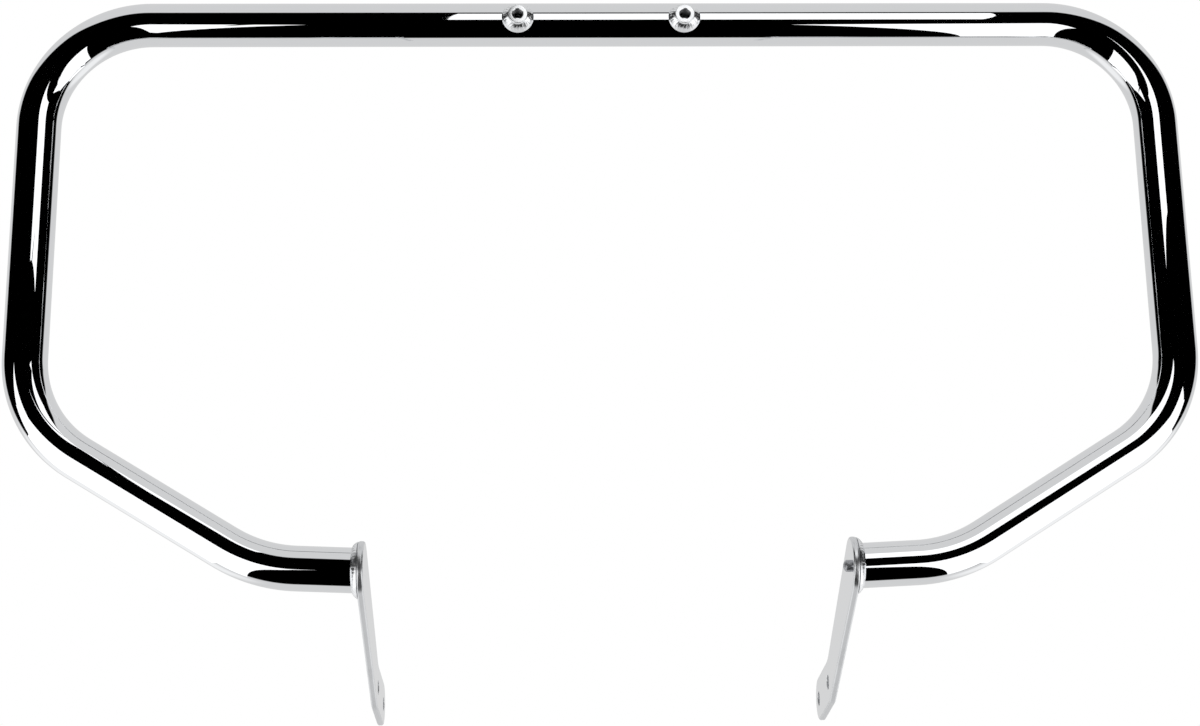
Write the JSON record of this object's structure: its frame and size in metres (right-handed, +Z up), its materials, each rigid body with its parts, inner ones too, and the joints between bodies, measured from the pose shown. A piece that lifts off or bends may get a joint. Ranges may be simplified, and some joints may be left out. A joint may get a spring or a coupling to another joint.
{
  "type": "motorcycle crash bar",
  "caption": "Bent chromed steel tube loop that guards a motorcycle's engine, with flat bolt-on straps at its ends and threaded bungs on its top run.",
  "frame": {"origin": "midway between the front faces of the two threaded bungs, on their plane", "axes": "+X to the right of someone who faces the bar's front, -Y out of the front of the bungs, +Z up from the straps to the top run"},
  "size_m": [0.857, 0.2205, 0.5198],
  "materials": {
    "chrome": "bright plated",
    "weld": "plated weld bead",
    "plug": "satin"
  },
  "bodies": {
    "root": {"guard_tube": "chrome", "right_strap": "chrome", "left_strap": "chrome", "right_bung": "chrome", "left_bung": "chrome", "right_strap_weld": "weld", "left_strap_weld": "weld", "right_bung_weld": "weld", "left_bung_weld": "weld", "vent_plug": "plug"}
  },
  "joints": []
}
